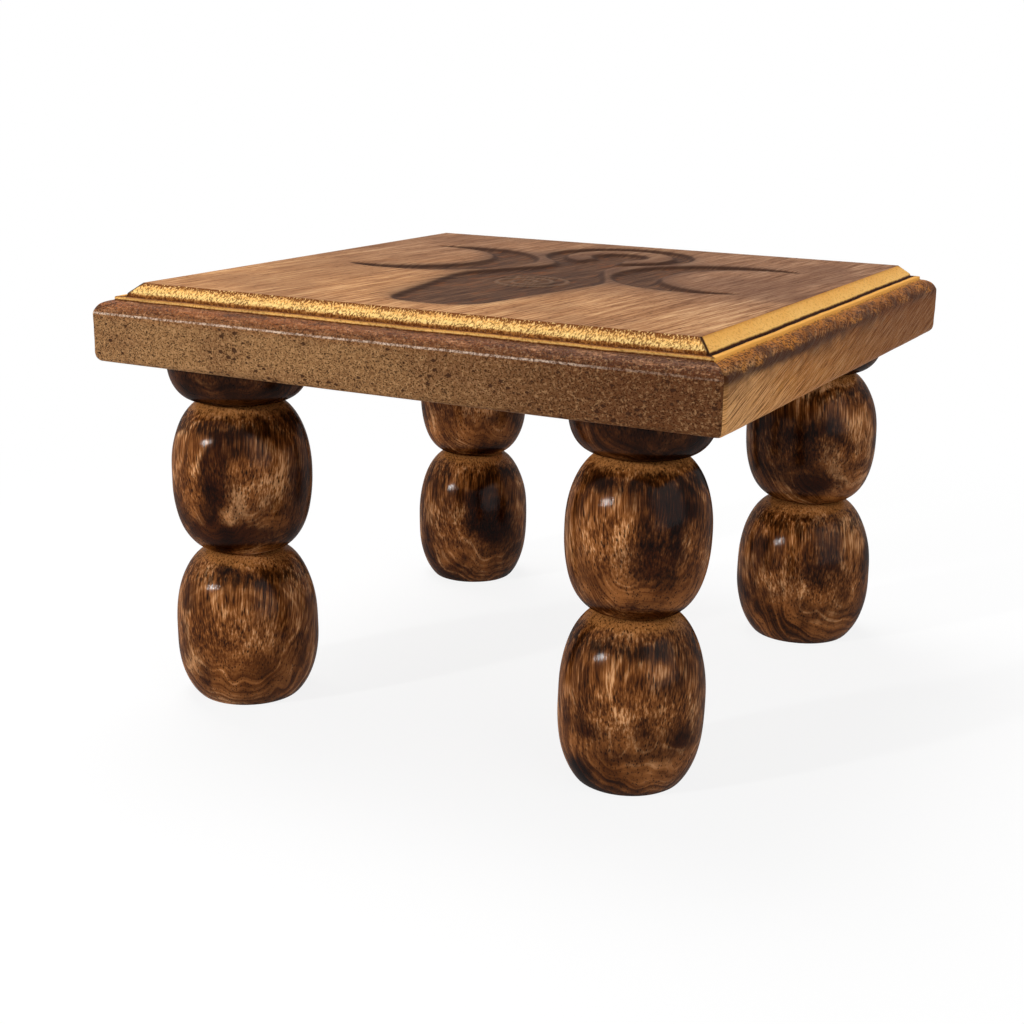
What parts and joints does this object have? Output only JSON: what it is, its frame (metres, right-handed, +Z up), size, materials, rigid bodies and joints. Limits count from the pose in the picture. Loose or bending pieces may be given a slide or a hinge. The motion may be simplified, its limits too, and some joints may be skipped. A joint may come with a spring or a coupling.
{
  "type": "altar table",
  "caption": "Small square wooden altar table: a board with a moulded edge and a sunk carved figure between crescent moons, standing on turned double-bead legs.",
  "frame": {"origin": "on the floor under the middle of the board", "axes": "+Z up, front face at -Y, head of the carved figure towards +Y, +X to the right seen from the front"},
  "size_m": [0.1524, 0.1524, 0.0982],
  "materials": {
    "board_wood": "satin oil, scorched",
    "leg_wood": "satin oil, scorched",
    "bolt_steel": "zinc plated",
    "insert_brass": "plain"
  },
  "bodies": {
    "root": {"tabletop": "board_wood", "leg_front_left": "leg_wood", "hanger_bolt_front_left": "bolt_steel", "insert_front_left": "insert_brass", "leg_front_right": "leg_wood", "hanger_bolt_front_right": "bolt_steel", "insert_front_right": "insert_brass", "leg_back_left": "leg_wood", "hanger_bolt_back_left": "bolt_steel", "insert_back_left": "insert_brass", "leg_back_right": "leg_wood", "hanger_bolt_back_right": "bolt_steel", "insert_back_right": "insert_brass"}
  },
  "joints": []
}
